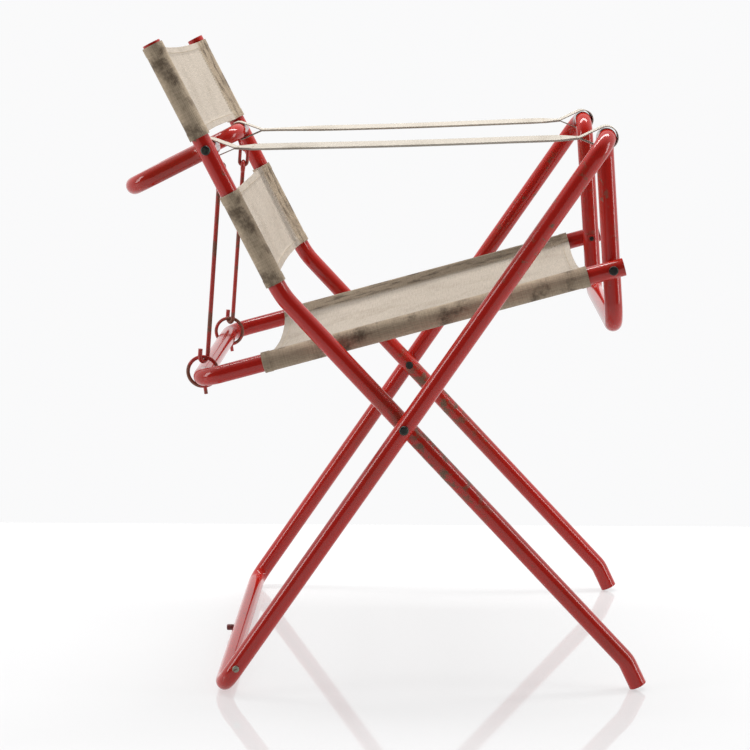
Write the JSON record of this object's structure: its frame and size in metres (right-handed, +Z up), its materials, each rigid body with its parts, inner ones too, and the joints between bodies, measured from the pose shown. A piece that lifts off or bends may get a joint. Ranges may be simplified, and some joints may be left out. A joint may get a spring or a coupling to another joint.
{
  "type": "director chair",
  "caption": "Folding director chair: crossed red tube frames, hanging seat frame, three beige canvas slings, webbing arm straps and hooked rods that hold the seat's rear.",
  "frame": {"origin": "on the floor under the middle of the chair's box", "axes": "+X points forward, +Y to the sitter's left, +Z up"},
  "size_m": [0.646, 0.529, 0.8018],
  "materials": {
    "frame_paint": "gloss enamel, worn",
    "dark_fastener": "aged dark steel",
    "stud_paint": "dark maroon enamel",
    "plain_steel": "dull zinc, worn",
    "hanger_wire": "worn paint over rusty wire",
    "canvas": "coarse beige linen canvas, stained",
    "webbing": "off-white cotton webbing"
  },
  "bodies": {
    "outer_frame": {"outer_frame_tube": "frame_paint", "floor_bar": "frame_paint", "floor_bar_rivets": "plain_steel", "floor_bar_stud": "stud_paint", "cross_pivot_rivets": "dark_fastener", "cross_pivot_washers": "plain_steel", "seat_pivot_bolts": "dark_fastener", "seat_pivot_washers": "plain_steel", "seat_pivot_nuts": "dark_fastener"},
    "back_frame": {"back_leg_left": "frame_paint", "back_leg_right": "frame_paint", "spreader_hoop": "frame_paint", "hoop_end_plugs": "plain_steel", "hoop_bolts": "dark_fastener", "hoop_eye_left": "hanger_wire", "hoop_eye_right": "hanger_wire", "upper_back_canvas": "canvas", "lower_back_canvas": "canvas", "arm_strap_left": "webbing", "arm_strap_right": "webbing"},
    "seat_frame": {"seat_frame_tube": "frame_paint", "seat_canvas": "canvas"},
    "hanger_left": {"hanger_link_left": "hanger_wire", "hanger_rod_left": "hanger_wire"},
    "hanger_right": {"hanger_link_right": "hanger_wire", "hanger_rod_right": "hanger_wire"},
    "ring_left": {"seat_ring_left": "hanger_wire"},
    "ring_right": {"seat_ring_right": "hanger_wire"}
  },
  "joints": [
    {"name": "frame_fold", "type": "hinge", "parent": "outer_frame", "child": "back_frame", "pos_m": [0.02535, 0, 0.334], "axis": [0, 1, 0], "range_deg": [0, 65], "deforming": ["arm_strap_left", "arm_strap_right"]},
    {"name": "seat_fold", "type": "hinge", "parent": "outer_frame", "child": "seat_frame", "pos_m": [0.27926, 0, 0.52], "axis": [0, -1, 0], "range_deg": [0, 35]},
    {"name": "hanger_left_swing", "type": "hinge", "parent": "back_frame", "child": "hanger_left", "pos_m": [-0.20015, 0.16206, 0.64548], "axis": [0, -1, 0], "range_deg": [0, 26.5]},
    {"name": "ring_left_swing", "type": "hinge", "parent": "seat_frame", "child": "ring_left", "pos_m": [-0.22687, 0.168, 0.38627], "axis": [0, -1, 0], "range_deg": [0, 170]},
    {"name": "hanger_right_swing", "type": "hinge", "parent": "back_frame", "child": "hanger_right", "pos_m": [-0.20015, -0.16206, 0.64548], "axis": [0, -1, 0], "range_deg": [0, 26.5]},
    {"name": "ring_right_swing", "type": "hinge", "parent": "seat_frame", "child": "ring_right", "pos_m": [-0.22687, -0.168, 0.38627], "axis": [0, -1, 0], "range_deg": [0, 170]}
  ],
  "couplings": [
    {"joint": "seat_fold", "follows": "frame_fold", "ratio": 0.538},
    {"joint": "hanger_left_swing", "follows": "frame_fold", "ratio": 0.4},
    {"joint": "ring_left_swing", "follows": "frame_fold", "ratio": 2.6},
    {"joint": "hanger_right_swing", "follows": "frame_fold", "ratio": 0.4},
    {"joint": "ring_right_swing", "follows": "frame_fold", "ratio": 2.6}
  ]
}
